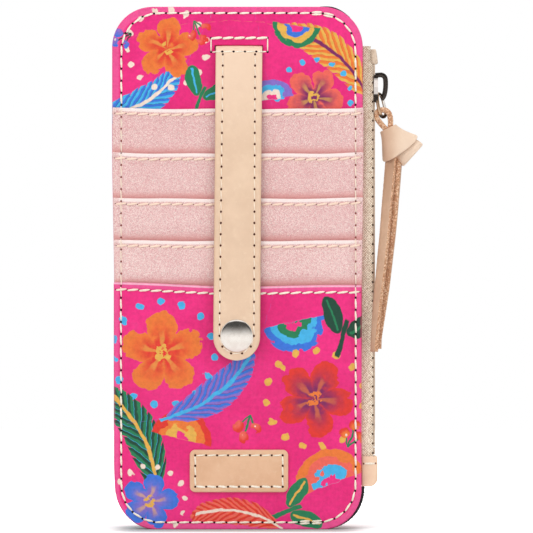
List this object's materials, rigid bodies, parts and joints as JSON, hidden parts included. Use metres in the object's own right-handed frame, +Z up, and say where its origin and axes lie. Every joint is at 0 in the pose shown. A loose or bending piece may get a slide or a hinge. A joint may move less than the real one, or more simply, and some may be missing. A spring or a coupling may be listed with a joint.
{
  "type": "card organizer",
  "caption": "Slim upright card organizer: stepped card pockets under a snap strap, a lower slip pocket, and a side-zip pocket with a knotted lace pull.",
  "frame": {"origin": "middle of the front panel's bottom edge", "axes": "+Z up along the organizer, -Y out of its front with the card pockets, +X towards its zip"},
  "size_m": [0.1184, 0.021, 0.2],
  "materials": {
    "printed_canvas": "glossy coated print",
    "lining_cloth": "matte",
    "glitter_sheet": "fine glitter",
    "strap_leather": "smooth natural",
    "split_leather": "suede",
    "label_leather": "smooth natural",
    "lace_leather": "smooth with raw edges",
    "zip_tape": "woven",
    "zip_resin": "satin",
    "gunmetal": "dark polished",
    "nickel": "polished"
  },
  "bodies": {
    "body": {"front_panel": "printed_canvas", "back_panel": "printed_canvas", "front_lining": "lining_cloth", "back_lining": "lining_cloth", "card_pocket_1": "glitter_sheet", "card_pocket_2": "glitter_sheet", "card_pocket_3": "glitter_sheet", "card_pocket_4": "glitter_sheet", "lower_pocket": "printed_canvas", "label_patch": "label_leather", "front_zip_tape": "zip_tape", "back_zip_tape": "zip_tape", "front_zip_teeth": "zip_resin", "back_zip_teeth": "zip_resin", "zip_top_stop": "zip_resin", "zip_bottom_stop": "zip_resin", "zip_end_tab": "label_leather", "strap_anchor": "strap_leather", "snap_stud": "nickel", "snap_post": "nickel"},
    "strap": {"strap_outer": "strap_leather", "strap_lining": "split_leather", "snap_cap": "nickel", "snap_socket": "nickel"},
    "slider": {"slider_body": "gunmetal", "slider_bridge": "gunmetal"},
    "link": {"pull_link": "nickel"},
    "pull": {"pull_loop": "lace_leather", "pull_knot": "lace_leather", "pull_wrap": "lace_leather", "pull_tail_front": "lace_leather", "pull_tail_back": "lace_leather"}
  },
  "joints": [
    {"name": "strap_lift", "type": "hinge", "parent": "body", "child": "strap", "pos_m": [0, -0.0034, 0.18235], "axis": [-1, 0, 0], "range_deg": [0, 150]},
    {"name": "slider_travel", "type": "slide", "parent": "body", "child": "slider", "axis": [0, 0, -1], "range_m": [-0.003, 0.131], "deforming": ["front_zip_teeth", "back_zip_teeth"]},
    {"name": "link_swing", "type": "hinge", "parent": "slider", "child": "link", "pos_m": [0.0549, 0.0041, 0.1665], "axis": [0, -1, 0], "range_deg": [0, 90]},
    {"name": "pull_swing", "type": "hinge", "parent": "link", "child": "pull", "pos_m": [0.05665, 0.0041, 0.158], "axis": [0, -1, 0], "range_deg": [0, 60]}
  ]
}
